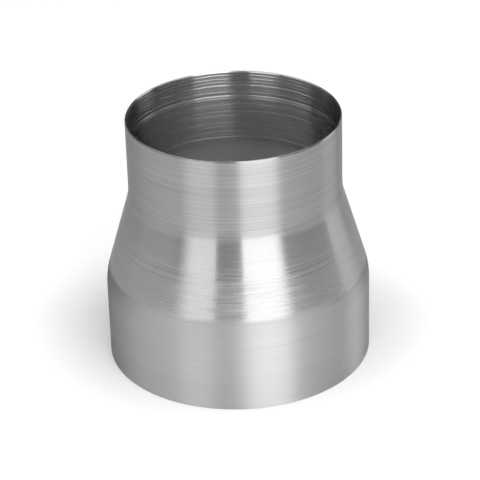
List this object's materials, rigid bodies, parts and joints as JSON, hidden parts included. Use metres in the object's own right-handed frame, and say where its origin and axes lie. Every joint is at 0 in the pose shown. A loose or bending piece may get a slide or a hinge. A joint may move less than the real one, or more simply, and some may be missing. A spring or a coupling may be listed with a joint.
{
  "type": "duct reducer",
  "caption": "Spun aluminium duct reducer: a thin round shell, open at both ends, that steps a large round duct down to a smaller one through a short conical shoulder.",
  "frame": {"origin": "centre of the large rim, on the plane that the reducer stands on", "axes": "+Z along the axis of the shell, from the large collar up to the small one; X and Y are free, as the shell is round"},
  "size_m": [0.127, 0.127, 0.1225],
  "materials": {
    "spun_aluminium": "bare spun aluminium with fine rings round the axis, satin outside and coarser inside"
  },
  "bodies": {
    "root": {"reducer_shell": "spun_aluminium"}
  },
  "joints": []
}
